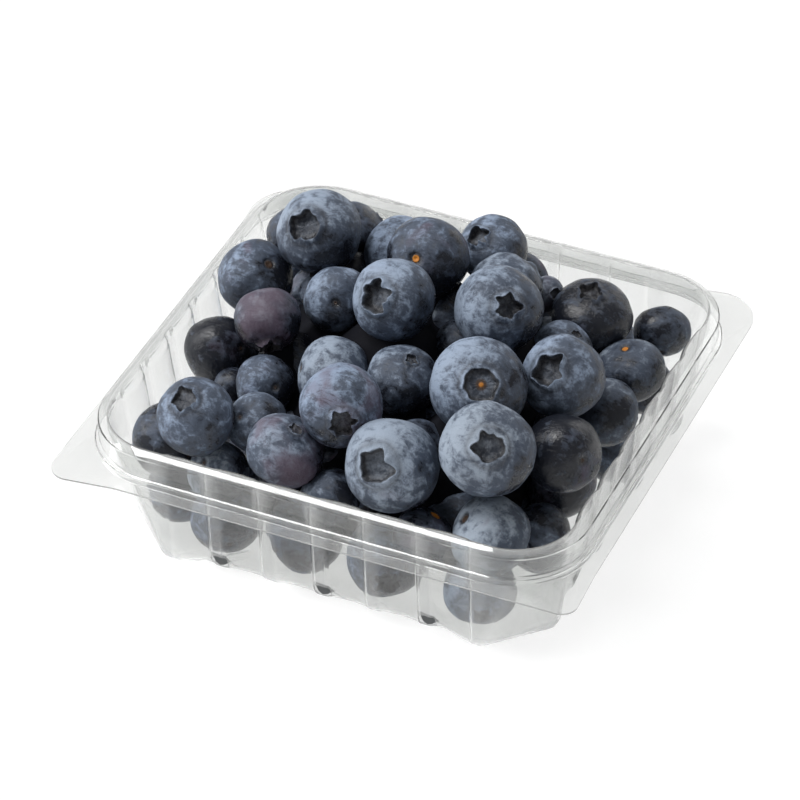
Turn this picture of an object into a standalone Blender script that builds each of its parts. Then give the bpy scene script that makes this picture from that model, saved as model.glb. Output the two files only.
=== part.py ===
# An open clear-plastic punnet heaped with blueberries, as two solids: the thermoformed tray and the
# heap of fruit out to its uneven outline. Metres, +Z up, +X along the front, +Y to the back. The
# origin is under the middle of the tray, on the surface that the four feet stand on.

import math
import random

import bmesh
import bpy
from mathutils import Vector

MM = 0.001

# The tray's driving sizes, in millimetres.
HEIGHT = 31.5
RIM_WIDTH = 108.0
RIM_DEPTH = 103.6
RIM_CORNER_RADIUS = 16.5
SHEET = 0.5
BAND_DROP = 7.2
FLANGE_OVERHANG = 3.7
STEP_RISE = 1.2
STEP_OUT = 0.8
STEP_SLOPE = 0.3
RIM_ROUNDING = 0.6
RUN_IN = 0.4

MOUTH_WIDTH = 102.4
MOUTH_DEPTH = 99.0
MOUTH_CORNER_RADIUS = 13.0
BASE_SIDE = 95.0
BASE_ROUNDING = 4.5
BASE_CORNER_CUT = 11.6
BASE_BEND_RADIUS = 1.5

FLUTES_PER_SIDE = 6
FLUTED_RUN = 70.0
FLUTE_STATIONS = ((0.08, 0.0), (0.17, 0.6), (0.5, 1.0), (0.83, 0.6), (0.92, 0.0))
FLUTE_BULGE_AT_MOUTH = 0.5
FLUTE_BULGE = 1.2
BULGE_AT_BEND = 0.8
SHOULDER_DROP = 2.0
SHOULDER_INSET = 0.5
SHOULDER_CORNER_RADIUS = 11.0

FOOT_DEPTH = 1.5
FOOT_RAMP = (0.77, 0.93)
FOOT_FLATNESS = 0.1
FLOOR_BORDER = 6.0
FLOOR_SIDE = 71.0
FLOOR_CORNER_CUT = 10.5
FLOOR_RISE = 0.8
FLOOR_EASE = 3.0

VENT_FLUTES = (-2, 0, 2)
VENT_WIDTH = 4.6
VENT_OFFSET = 0.8
VENT_TOP = 9.0
VENT_BOTTOM = 3.0
VENT_CUT_OUT = 5.0
VENT_CUT_IN = 4.0
ARCH_STEPS = 8

# Each corner of the flange, anticlockwise from the front right: its radius, then how far it stands
# out past the flange's edge along X and along Y. The back right and front left corners are the
# opening tabs.
FLANGE_CORNERS = (
    (3.5, 0.5, 0.0),
    (6.0, 0.0, 1.4),
    (11.0, 0.5, 0.0),
    (4.5, 0.0, 1.4),
)

# The fruit that shows on top of the heap: centre x, y, z and diameter, in millimetres, from the
# back left corner to the front right.
TOP_FRUIT = (
    (-29, 17, 44.5, 18.0),
    (-27, 31, 35.0, 14.0),
    (-38, 26, 35.0, 14.0),
    (-41, 10, 33.5, 16.0),
    (-14, 26, 37.0, 16.0),
    (-4, 17, 45.0, 17.0),
    (5, 31, 40.5, 14.5),
    (-19, 4, 38.5, 14.0),
    (-4, -1, 46.5, 17.0),
    (17, 5, 46.0, 18.0),
    (13, 19, 40.0, 16.0),
    (9, 36, 30.0, 13.0),
    (-30, -7, 37.5, 14.0),
    (-41, -8, 26.5, 15.0),
    (0, 15, 31.5, 14.0),
    (30, 25, 34.5, 17.0),
    (42, 36, 26.5, 12.0),
    (42, 18, 28.5, 14.5),
    (-12, -14, 33.5, 16.0),
    (3, -12, 35.5, 15.0),
    (22, -17, 43.0, 20.0),
    (35, -4, 40.5, 17.0),
    (29, 11, 34.5, 13.0),
    (-26, -17, 28.5, 12.5),
    (-2, -32, 41.5, 17.0),
    (-31, -40, 35.0, 16.0),
    (-41, -39, 25.0, 15.0),
    (-21, -32, 31.0, 12.5),
    (-11, -41, 32.5, 16.0),
    (12, -39, 35.0, 19.0),
    (31, -34, 42.0, 19.0),
    (42, -19, 33.5, 16.0),
    (43, 5, 26.5, 14.5),
    (43, 28, 17.5, 12.0),
    (-26, -40, 22.5, 12.5),
    (34, -40, 24.5, 16.5),
    (40, -28, 18.0, 14.0),
    (-1, -40, 24.0, 12.5),
    (20, -42, 21.5, 12.0),
    (12, -25, 28.5, 14.0),
    (39, -13, 20.5, 15.0),
)

# The fruit that shows through the front wall, low down: centre x, y, z and diameter.
FRONT_FRUIT = (
    (-37.0, -37.0, 11.0, 15.5),
    (-25.0, -39.0, 9.0, 14.5),
    (-7.5, -39.0, 9.0, 16.0),
    (10.8, -39.0, 9.0, 16.0),
    (32.0, -39.0, 9.0, 14.5),
)

# The fruit under and behind it, in rough layers: each layer's height, its reach along X and along Y, and the
# range of its diameters.
HIDDEN_LAYERS = (
    (11.5, (-41.0, 41.0), (-41.0, 41.0), (14.5, 17.5)),
    (22.0, (-32.0, 38.0), (-36.0, 24.0), (13.0, 16.0)),
    (31.0, (-24.0, 28.0), (-26.0, 26.0), (12.5, 15.0)),
)
FILL_STEP = 6.0
FILL_JITTER = 1.6
LAYER_JITTER = 1.0
NEAREST = 0.8
SETTLE_ROUNDS = 60
FRUIT_GAP = 0.7
CORE_HALF = 34.0
CORE_BOTTOM = 7.0
CORE_TOP = 25.0
BERRY_SUBDIVISIONS = 3
HEAP_VOXEL = 1.5
HEAP_TRIANGLES = 4400

CORNER_STEPS = 6


def clear_scene():
    for obj in list(bpy.data.objects):
        bpy.data.objects.remove(obj, do_unlink=True)


def make_material(name, colour, roughness, transmission=0.0):
    material = bpy.data.materials.new(name)
    material.use_nodes = True
    shader = material.node_tree.nodes["Principled BSDF"]
    shader.inputs["Base Color"].default_value = (*colour, 1.0)
    shader.inputs["Roughness"].default_value = roughness
    shader.inputs["Metallic"].default_value = 0.0
    shader.inputs["Transmission Weight"].default_value = transmission
    material.diffuse_color = (*colour, 1.0)
    return material


def smoothstep(low, high, value):
    share = min(max((value - low) / (high - low), 0.0), 1.0)
    return share * share * (3.0 - 2.0 * share)


# Each section of the tray is a closed ring of points, side by side from the front, anticlockwise.

def side_axes(side):
    turn = side * math.pi / 2
    along = Vector((math.cos(turn), math.sin(turn)))
    outward = Vector((math.sin(turn), -math.cos(turn)))
    return along, outward


def side_reach(side, width, depth):
    """Half the length along a side, and how far out it lies."""
    if side % 2 == 0:
        return width / 2, depth / 2
    return depth / 2, width / 2


def arc_corner(side, width, depth, radius):
    along, outward = side_axes(side)
    reach, out = side_reach(side, width, depth)
    centre = along * (reach - radius) + outward * (out - radius)
    points = []
    for step in range(CORNER_STEPS + 1):
        turn = math.pi / 2 * step / CORNER_STEPS
        points.append(centre + radius * (outward * math.cos(turn) + along * math.sin(turn)))
    return points


def cut_corner(side, width, depth, cut, bend):
    """A corner cut off at 45 degrees, with its two bends rounded."""
    along, outward = side_axes(side)
    reach, out = side_reach(side, width, depth)
    back = cut + bend * math.tan(math.pi / 8)
    first = along * (reach - back) + outward * (out - bend)
    second = along * (reach - bend) + outward * (out - back)
    half = CORNER_STEPS // 2
    points = []
    for centre, start in ((first, 0.0), (second, math.pi / 4)):
        for step in range(half):
            turn = start + math.pi / 4 * step / (half - 1)
            points.append(centre + bend * (outward * math.cos(turn) + along * math.sin(turn)))
    points.insert(half, (points[half - 1] + points[half]) / 2)
    return points


def plain_ring(width, depth, corners, height):
    """A ring without flutes. Each corner has a radius, and lips that carry it out along X and Y."""
    ring = []
    half = FLUTED_RUN / 2
    for side in range(4):
        along, outward = side_axes(side)
        reach, out = side_reach(side, width, depth)
        before = half + RUN_IN * (reach - corners[side - 1][0] - half)
        after = half + RUN_IN * (reach - corners[side][0] - half)
        ring.extend(along * x + outward * out for x in (-before, -half, half, after))
        radius, lip_x, lip_y = corners[side]
        ring.extend(arc_corner(side, width + 2 * lip_x, depth + 2 * lip_y, radius))
    return [Vector((p.x, p.y, height)) for p in ring]


def fluted_ring(width, depth, radius, cut, run, bulge, height, foot=0.0):
    """A ring with flutes that bulge inwards, corners rounded or cut, and feet pushed down at them."""
    ring = []
    rounded = radius > 0
    for side in range(4):
        along, outward = side_axes(side)
        reach, out = side_reach(side, width, depth)
        for flute in range(FLUTES_PER_SIDE):
            for station, fullness in FLUTE_STATIONS:
                share = 2 * (flute + station) / FLUTES_PER_SIDE - 1
                point = along * (share * run / 2) + outward * (out - bulge * fullness)
                drop = foot * smoothstep(*FOOT_RAMP, abs(share))
                ring.append(Vector((point.x, point.y, height - drop)))
        if rounded:
            corner = arc_corner(side, width, depth, radius)
        else:
            corner = cut_corner(side, width, depth, cut, BASE_BEND_RADIUS)
        ring.extend(Vector((p.x, p.y, height - foot)) for p in corner)
    return ring


def tray_rings():
    """The tray's upper surface, from the flange's edge over the rim and down to the floor."""
    flange_top = HEIGHT - BAND_DROP
    step_corners = [(RIM_CORNER_RADIUS + STEP_OUT, 0.0, 0.0)] * 4
    rim_corners = [(RIM_CORNER_RADIUS, 0.0, 0.0)] * 4
    top_corners = [(RIM_CORNER_RADIUS - RIM_ROUNDING, 0.0, 0.0)] * 4
    grown = 2 * FLANGE_OVERHANG
    stepped = 2 * STEP_OUT
    rounded = 2 * RIM_ROUNDING
    plain = [
        plain_ring(RIM_WIDTH + grown, RIM_DEPTH + grown, FLANGE_CORNERS, flange_top),
        plain_ring(RIM_WIDTH + stepped, RIM_DEPTH + stepped, step_corners, flange_top),
        plain_ring(RIM_WIDTH + stepped, RIM_DEPTH + stepped, step_corners, flange_top + STEP_RISE),
        plain_ring(RIM_WIDTH, RIM_DEPTH, rim_corners, flange_top + STEP_RISE + STEP_SLOPE),
        plain_ring(RIM_WIDTH, RIM_DEPTH, rim_corners, HEIGHT - RIM_ROUNDING),
        plain_ring(RIM_WIDTH - rounded, RIM_DEPTH - rounded, top_corners, HEIGHT),
    ]
    foot_top = SHEET
    middle = foot_top + FOOT_DEPTH
    side = BASE_SIDE
    bent = BASE_ROUNDING * (1 - math.cos(math.pi / 4))
    cut_share = 2 - math.sqrt(2)
    shoulder = 2 * SHOULDER_INSET
    fluted = [
        fluted_ring(MOUTH_WIDTH, MOUTH_DEPTH, MOUTH_CORNER_RADIUS, 0, FLUTED_RUN,
                    FLUTE_BULGE_AT_MOUTH, HEIGHT),
        fluted_ring(MOUTH_WIDTH - shoulder, MOUTH_DEPTH - shoulder, SHOULDER_CORNER_RADIUS, 0,
                    FLUTED_RUN, FLUTE_BULGE, HEIGHT - SHOULDER_DROP),
        fluted_ring(side, side, 0, BASE_CORNER_CUT, FLUTED_RUN, FLUTE_BULGE,
                    middle + BASE_ROUNDING, FOOT_DEPTH),
        fluted_ring(side - 2 * bent, side - 2 * bent, 0, BASE_CORNER_CUT - cut_share * bent,
                    FLUTED_RUN - 2 * bent, FLUTE_BULGE * BULGE_AT_BEND, middle + bent, FOOT_DEPTH),
        fluted_ring(side - 2 * BASE_ROUNDING, side - 2 * BASE_ROUNDING, 0,
                    BASE_CORNER_CUT - cut_share * BASE_ROUNDING, FLUTED_RUN - BASE_ROUNDING,
                    0, middle, FOOT_DEPTH),
    ]
    border_side = side - 2 * (BASE_ROUNDING + FLOOR_BORDER)
    border_run = border_side - 2 * FLOOR_CORNER_CUT - FLOOR_EASE
    fluted.append(fluted_ring(border_side, border_side, 0, FLOOR_CORNER_CUT, border_run, 0,
                              middle, FOOT_DEPTH))
    floor_run = FLOOR_SIDE - 2 * FLOOR_CORNER_CUT - FLOOR_EASE
    fluted.append(fluted_ring(FLOOR_SIDE, FLOOR_SIDE, 0, FLOOR_CORNER_CUT, floor_run, 0,
                              middle + FLOOR_RISE))
    return plain, fluted


def loft(mesh, lower, upper):
    count = len(lower)
    for i in range(count):
        j = (i + 1) % count
        mesh.faces.new((lower[i], lower[j], upper[j], upper[i]))


def build_shelf(mesh, outer, inner):
    """The rim's flat top, between its plain outer edge and the fluted mouth."""
    outer_side = 4 + CORNER_STEPS + 1
    inner_side = FLUTES_PER_SIDE * len(FLUTE_STATIONS) + CORNER_STEPS + 1
    inner_run = FLUTES_PER_SIDE * len(FLUTE_STATIONS) - 1
    for side in range(4):
        a = side * outer_side
        b = side * inner_side
        run = [inner[b + i] for i in range(inner_run + 1)]
        mesh.faces.new((outer[a + 1], outer[a + 2], *reversed(run)))
        mesh.faces.new((outer[a + 2], outer[a + 3], outer[a + 4], inner[b + inner_run + 1],
                        inner[b + inner_run]))
        for step in range(CORNER_STEPS):
            mesh.faces.new((outer[a + 4 + step], outer[a + 5 + step],
                            inner[b + inner_run + 2 + step], inner[b + inner_run + 1 + step]))
        last_outer = outer[a + outer_side - 1]
        last_inner = inner[b + inner_side - 1]
        next_a = ((side + 1) % 4) * outer_side
        next_b = ((side + 1) % 4) * inner_side
        mesh.faces.new((last_outer, outer[next_a], outer[next_a + 1], inner[next_b], last_inner))


def build_vent_cutters(collection):
    """Arch-topped openings low in each wall, beside every second flute."""
    cutters = []
    pitch = FLUTED_RUN / FLUTES_PER_SIDE
    half = VENT_WIDTH / 2
    for side in range(4):
        along, outward = side_axes(side)
        for flute in VENT_FLUTES:
            centre = along * (flute * pitch + VENT_OFFSET) + outward * (BASE_SIDE / 2)
            rise = VENT_TOP - VENT_BOTTOM - half
            turns = [math.pi * step / ARCH_STEPS for step in range(ARCH_STEPS + 1)]
            bottom = [(-half, 0.0), (half, 0.0)]
            arch = [(half * math.cos(turn), rise + half * math.sin(turn)) for turn in turns]
            points = [Vector((x, -VENT_CUT_OUT, z)) * MM for x, z in bottom + arch]
            outline = bmesh.new()
            face = outline.faces.new([outline.verts.new(p) for p in points])
            deep = bmesh.ops.extrude_face_region(outline, geom=[face])
            moved = [item for item in deep["geom"] if isinstance(item, bmesh.types.BMVert)]
            bmesh.ops.translate(outline, verts=moved, vec=(0, (VENT_CUT_OUT + VENT_CUT_IN) * MM, 0))
            bmesh.ops.recalc_face_normals(outline, faces=outline.faces)
            mesh = bpy.data.meshes.new("vent_cutter")
            outline.to_mesh(mesh)
            outline.free()
            cutter = bpy.data.objects.new("vent_cutter_%d" % len(cutters), mesh)
            cutter.location = (centre.x * MM, centre.y * MM, VENT_BOTTOM * MM)
            cutter.rotation_euler = (0, 0, side * math.pi / 2)
            cutter.display_type = "WIRE"
            cutter.hide_render = True
            collection.objects.link(cutter)
            cutters.append(cutter)
    return cutters


def stand_flat(tray):
    """Applies the tray's modifiers, and presses the undersides of the four feet onto one plane."""
    sheet = tray.data
    evaluated = tray.evaluated_get(bpy.context.evaluated_depsgraph_get())
    tray.data = bpy.data.meshes.new_from_object(evaluated)
    tray.modifiers.clear()
    bpy.data.meshes.remove(sheet)
    tray.data.name = "punnet"
    for vert in tray.data.vertices:
        if vert.co.z < FOOT_FLATNESS * MM:
            vert.co.z = 0.0


def build_tray(parts, cutters_collection, material):
    plain, fluted = tray_rings()
    sheet = bmesh.new()
    plain_verts = [[sheet.verts.new(p * MM) for p in ring] for ring in plain]
    fluted_verts = [[sheet.verts.new(p * MM) for p in ring] for ring in fluted]
    for lower, upper in zip(plain_verts, plain_verts[1:]):
        loft(sheet, lower, upper)
    build_shelf(sheet, plain_verts[-1], fluted_verts[0])
    for lower, upper in zip(fluted_verts, fluted_verts[1:]):
        loft(sheet, lower, upper)
    sheet.faces.new(fluted_verts[-1])
    mesh = bpy.data.meshes.new("punnet")
    sheet.to_mesh(mesh)
    sheet.free()
    mesh.materials.append(material)
    tray = bpy.data.objects.new("punnet", mesh)
    parts.objects.link(tray)
    shell = tray.modifiers.new("sheet thickness", "SOLIDIFY")
    shell.thickness = SHEET * MM
    shell.offset = -1.0
    shell.use_even_offset = True
    shell.use_quality_normals = True
    tray.modifiers.new("flat facets", "TRIANGULATE")
    stand_flat(tray)
    for cutter in build_vent_cutters(cutters_collection):
        vent = tray.modifiers.new(cutter.name, "BOOLEAN")
        vent.operation = "DIFFERENCE"
        vent.object = cutter
    return tray


# The heap of fruit.

def wall_reach(height):
    """How far a berry may reach from the middle along X and along Y, clear of the flutes."""
    depth = min(max((HEIGHT - height) / (HEIGHT - BASE_ROUNDING), 0.0), 1.0)
    inset = FLUTE_BULGE + FRUIT_GAP
    reach_x = MOUTH_WIDTH / 2 + (BASE_SIDE - MOUTH_WIDTH) / 2 * depth - inset
    reach_y = MOUTH_DEPTH / 2 + (BASE_SIDE - MOUTH_DEPTH) / 2 * depth - inset
    return reach_x, reach_y


def keep_inside(centre, radius):
    """Moves a berry off the tray's walls, its cut corners and its floor."""
    reach_x, reach_y = wall_reach(centre.z)
    centre.x = min(max(centre.x, radius - reach_x), reach_x - radius)
    centre.y = min(max(centre.y, radius - reach_y), reach_y - radius)
    depth = min(max((HEIGHT - centre.z) / (HEIGHT - BASE_ROUNDING), 0.0), 1.0)
    mouth_cut = (2 - math.sqrt(2)) * MOUTH_CORNER_RADIUS
    cut = mouth_cut + (BASE_CORNER_CUT - mouth_cut) * depth
    limit = reach_x + reach_y - cut - radius * math.sqrt(2)
    excess = abs(centre.x) + abs(centre.y) - limit
    if excess > 0:
        centre.x -= math.copysign(excess / 2, centre.x)
        centre.y -= math.copysign(excess / 2, centre.y)
    border = BASE_SIDE / 2 - BASE_ROUNDING - FLOOR_BORDER
    inward = border - max(abs(centre.x), abs(centre.y))
    rise = FLOOR_RISE * min(max(inward / (border - FLOOR_SIDE / 2), 0.0), 1.0)
    centre.z = max(centre.z, SHEET + FOOT_DEPTH + rise + FRUIT_GAP + radius)


def spaced(low, high):
    """Places from one limit to the other, about FILL_STEP apart."""
    count = round((high - low) / FILL_STEP)
    return [low + (high - low) * i / count for i in range(count + 1)]


def lay_fruit():
    """Every berry's centre and radius: those that show as placed, the hidden ones settled round them."""
    fruit = [(Vector((x, y, z)), size / 2) for x, y, z, size in TOP_FRUIT + FRONT_FRUIT]
    placed = len(fruit)
    for centre, radius in fruit:
        keep_inside(centre, radius)
    draw = random.Random(7)
    for height, reach_x, reach_y, sizes in HIDDEN_LAYERS:
        for y in spaced(*reach_y):
            for x in spaced(*reach_x):
                shift = Vector((draw.uniform(-1, 1), draw.uniform(-1, 1), 0)) * FILL_JITTER
                shift.z = draw.uniform(-1, 1) * LAYER_JITTER
                centre = Vector((x, y, height)) + shift
                radius = draw.uniform(*sizes) / 2
                keep_inside(centre, radius)
                free = all((centre - other).length > NEAREST * (radius + size) for other, size in fruit)
                if free:
                    fruit.append((centre, radius))
    for _ in range(SETTLE_ROUNDS):
        for i, (centre, radius) in enumerate(fruit):
            for other, size in fruit[max(i + 1, placed):]:
                apart = centre - other
                excess = radius + size - apart.length
                if excess > 0:
                    push = apart.normalized() * excess
                    if i >= placed:
                        centre += push / 2
                        push = push / 2
                    other -= push
        for centre, radius in fruit[placed:]:
            keep_inside(centre, radius)
    return fruit


def outer_shell(mesh):
    """Keeps only the outermost of a mesh's separate shells."""
    left = set(mesh.verts)
    shells = []
    while left:
        shell = set()
        stack = [left.pop()]
        while stack:
            vert = stack.pop()
            shell.add(vert)
            near = [edge.other_vert(vert) for edge in vert.link_edges]
            fresh = [v for v in near if v in left]
            left.difference_update(fresh)
            stack.extend(fresh)
        shells.append(shell)
    shells.sort(key=len)
    inner = [vert for shell in shells[:-1] for vert in shell]
    bmesh.ops.delete(mesh, geom=inner, context="VERTS")


def build_heap(parts, material):
    solids = bmesh.new()
    for centre, radius in lay_fruit():
        made = bmesh.ops.create_icosphere(solids, subdivisions=BERRY_SUBDIVISIONS,
                                           radius=radius * MM)
        bmesh.ops.translate(solids, verts=made["verts"], vec=centre * MM)
    core = bmesh.ops.create_cube(solids, size=1.0)
    tall = CORE_TOP - CORE_BOTTOM
    bmesh.ops.scale(solids, verts=core["verts"], vec=Vector((2 * CORE_HALF, 2 * CORE_HALF, tall)) * MM)
    bmesh.ops.translate(solids, verts=core["verts"], vec=(0, 0, (CORE_BOTTOM + tall / 2) * MM))
    mesh = bpy.data.meshes.new("berries")
    solids.to_mesh(mesh)
    solids.free()
    heap = bpy.data.objects.new("berries", mesh)
    parts.objects.link(heap)
    skin = heap.modifiers.new("one skin", "REMESH")
    skin.mode = "VOXEL"
    skin.voxel_size = HEAP_VOXEL * MM
    skinned = bpy.data.meshes.new_from_object(heap.evaluated_get(bpy.context.evaluated_depsgraph_get()))
    heap.modifiers.remove(skin)
    heap.data = skinned
    bpy.data.meshes.remove(mesh)
    shells = bmesh.new()
    shells.from_mesh(skinned)
    outer_shell(shells)
    bmesh.ops.triangulate(shells, faces=shells.faces)
    triangles = len(shells.faces)
    shells.to_mesh(skinned)
    shells.free()
    skinned.materials.clear()
    skinned.materials.append(material)
    skinned.name = "berries"
    thin = heap.modifiers.new("fewer faces", "DECIMATE")
    thin.ratio = HEAP_TRIANGLES / triangles
    return heap


def main():
    clear_scene()
    parts = bpy.data.collections.new("blueberry_punnet")
    cutters = bpy.data.collections.new("cutters")
    bpy.context.scene.collection.children.link(parts)
    bpy.context.scene.collection.children.link(cutters)
    plastic = make_material("clear plastic", (0.86, 0.88, 0.88), 0.08, transmission=0.9)
    skin = make_material("blueberry skin", (0.075, 0.095, 0.16), 0.5)
    build_tray(parts, cutters, plastic)
    build_heap(parts, skin)


main()
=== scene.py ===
import math
import random

import bmesh
import bpy
from mathutils import Matrix, Vector, noise


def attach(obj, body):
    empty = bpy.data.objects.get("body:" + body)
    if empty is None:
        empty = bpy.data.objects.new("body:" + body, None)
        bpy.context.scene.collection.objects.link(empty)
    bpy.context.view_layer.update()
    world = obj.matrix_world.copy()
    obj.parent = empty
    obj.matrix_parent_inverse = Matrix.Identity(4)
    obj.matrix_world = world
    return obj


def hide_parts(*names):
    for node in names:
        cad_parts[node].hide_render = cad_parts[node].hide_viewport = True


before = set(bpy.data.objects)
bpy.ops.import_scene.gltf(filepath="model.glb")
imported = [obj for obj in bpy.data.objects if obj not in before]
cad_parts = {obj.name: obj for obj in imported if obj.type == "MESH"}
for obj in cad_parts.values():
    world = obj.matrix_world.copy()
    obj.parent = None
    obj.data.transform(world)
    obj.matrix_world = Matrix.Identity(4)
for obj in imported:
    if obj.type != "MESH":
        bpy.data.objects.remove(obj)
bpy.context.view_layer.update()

mm = 0.001
print("frame loaded:", ", ".join(sorted(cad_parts)))


# camera, floor and lights
viewSettings = {
    "turn": 23.66,          # degrees round from the front, to the right
    "lift": 38.135,         # degrees above the floor
    "distance": 974.74,
    "aimHeight": 31.5,
    "aside": -2.70,
    "raise": -8.60,
    "lens": 210.2,
    "sensor": 36.0,
    "clip": (0.05, 20),     # in metres
}


def addCamera(s):
    turn = math.radians(s["turn"])
    lift = math.radians(s["lift"])
    back = Vector((math.sin(turn) * math.cos(lift), -math.cos(turn) * math.cos(lift), math.sin(lift)))
    right = Vector((math.cos(turn), math.sin(turn), 0))
    up = back.cross(right)
    place = Vector((0, 0, s["aimHeight"])) + back * s["distance"] + right * s["aside"] + up * s["raise"]
    data = bpy.data.cameras.new("camera")
    data.lens = s["lens"]
    data.sensor_width = s["sensor"]
    data.clip_start, data.clip_end = s["clip"]
    camera = bpy.data.objects.new("camera", data)
    bpy.context.scene.collection.objects.link(camera)
    turned = Matrix((right, up, back)).transposed().to_4x4()
    camera.matrix_world = Matrix.Translation(place * mm) @ turned
    bpy.context.scene.camera = camera


lightSettings = {
    # name: direction to the light, distance in metres, width, height, power in watts
    "overheadSoftbox": ((-0.36, -0.08, 0.93), 1.50, 0.45, 0.55, 12.0),
    "leftSoftbox": ((-0.88, -0.20, 0.50), 1.50, 0.35, 1.00, 10.0),
    "backSoftbox": ((0.25, 0.90, 0.40), 1.70, 1.20, 0.60, 4.0),
}
worldSettings = {"colour": (1.0, 1.0, 1.0), "strength": 0.28}
floorSettings = {
    "side": 6.0,            # in metres
    "colour": (0.24, 0.24, 0.24),
    "roughness": 0.9,
    "glowColour": (1.0, 1.0, 1.0),
    "glow": 0.81,
    "drop": 0.05,           # under the feet, in millimetres
}


def addLights(lights):
    for name, (direction, distance, width, height, power) in lights.items():
        data = bpy.data.lights.new(name, "AREA")
        data.shape = "RECTANGLE"
        data.size = width
        data.size_y = height
        data.energy = power
        lamp = bpy.data.objects.new(name, data)
        bpy.context.scene.collection.objects.link(lamp)
        away = Vector(direction).normalized()
        lamp.location = away * distance
        lamp.rotation_mode = "QUATERNION"
        lamp.rotation_quaternion = away.to_track_quat("Z", "Y")


def addWorld(s):
    world = bpy.data.worlds.new("studio")
    world.use_nodes = True
    sky = world.node_tree.nodes["Background"]
    sky.inputs["Color"].default_value = (*s["colour"], 1)
    sky.inputs["Strength"].default_value = s["strength"]
    bpy.context.scene.world = world
    bpy.context.scene.view_settings.view_transform = "Standard"


class Wire:
    # a node's output, with the arithmetic that builds Math nodes

    def __init__(self, board, socket):
        self.board = board
        self.socket = socket

    def maths(self, operation, other, swapped=False):
        pair = (other, self) if swapped else (self, other)
        return self.board.node("ShaderNodeMath", {"operation": operation}, {0: pair[0], 1: pair[1]})

    def __add__(self, other):
        return self.maths("ADD", other)

    def __radd__(self, other):
        return self.maths("ADD", other, True)

    def __sub__(self, other):
        return self.maths("SUBTRACT", other)

    def __rsub__(self, other):
        return self.maths("SUBTRACT", other, True)

    def __mul__(self, other):
        return self.maths("MULTIPLY", other)

    def __rmul__(self, other):
        return self.maths("MULTIPLY", other, True)


class Board:
    # one material's node tree

    def __init__(self, name):
        self.material = bpy.data.materials.new(name)
        self.material.use_nodes = True
        self.tree = self.material.node_tree
        self.shader = self.tree.nodes["Principled BSDF"]

    def feed(self, socket, value):
        if isinstance(value, Wire):
            self.tree.links.new(value.socket, socket)
        elif value is not None:
            socket.default_value = value

    def node(self, kind, settings=None, values=None, output=0):
        made = self.tree.nodes.new(kind)
        for key, value in (settings or {}).items():
            setattr(made, key, value)
        for key, value in (values or {}).items():
            self.feed(made.inputs[key], value)
        return Wire(self, made.outputs[output])

    def noise(self, where, scale, detail=4.0, roughness=0.55, distortion=0.0):
        return self.node("ShaderNodeTexNoise", {},
                         {"Vector": where, "Scale": scale, "Detail": detail,
                          "Roughness": roughness, "Distortion": distortion})

    def streaks(self, where, stretch, turn, detail, roughness, distortion):
        # noise drawn out along one direction
        drawn = self.node("ShaderNodeMapping", {}, {"Vector": where, "Scale": stretch, "Rotation": turn})
        return self.noise(drawn, 1.0, detail, roughness, distortion)

    def between(self, value, low, high):
        # 0 below low, 1 above high, smooth between them
        return self.node("ShaderNodeMapRange", {"interpolation_type": "SMOOTHSTEP"},
                         {"Value": value, "From Min": low, "From Max": high})

    def blend(self, share, first, second):
        made = self.tree.nodes.new("ShaderNodeMix")
        made.data_type = "RGBA"
        self.feed(made.inputs["Factor"], share)
        for name, value in (("A", first), ("B", second)):
            socket = [s for s in made.inputs if s.name == name and s.type == "RGBA"][0]
            self.feed(socket, value if isinstance(value, Wire) else (*value, 1))
        return Wire(self, [s for s in made.outputs if s.type == "RGBA"][0])

    def attribute(self, name):
        colour = self.node("ShaderNodeAttribute", {"attribute_name": name})
        parts = self.node("ShaderNodeSeparateColor", {}, {"Color": colour})
        made = parts.socket.node
        return [Wire(self, made.outputs[i]) for i in range(3)]

    def bump(self, height, distance, strength):
        return self.node("ShaderNodeBump", {}, {"Height": height, "Distance": distance,
                                                "Strength": strength})

    def set(self, **values):
        for key, value in values.items():
            name = "".join(" " + c if c.isupper() else c for c in key).strip().title()
            name = {"Ior": "IOR"}.get(name, name)
            if isinstance(value, tuple) and len(value) == 3:
                value = (*value, 1)
            self.feed(self.shader.inputs[name], value)


plasticSettings = {
    "colour": (0.850, 0.858, 0.850),
    "roughness": 0.03,
    "ior": 1.5,
    "milkColour": (0.90, 0.905, 0.90),
    "milkGlow": 0.55,       # how much of the milky light comes through from behind
    # painted shade inside the vents' folds
    "ventShadeColour": (0.06, 0.065, 0.07),
    "milkShare": 0.5,       # how milky the sheet is where its forming has stretched it most
    "shadowTint": 0.93,
    "mottle": (90.0, 3.0, 0.6),   # how fine the milk's mottling is, its detail and roughness
    "mottleLeast": 0.6,     # how milky it leaves a place at least, and how much it adds
    "mottleMore": 0.8,
}


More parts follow.
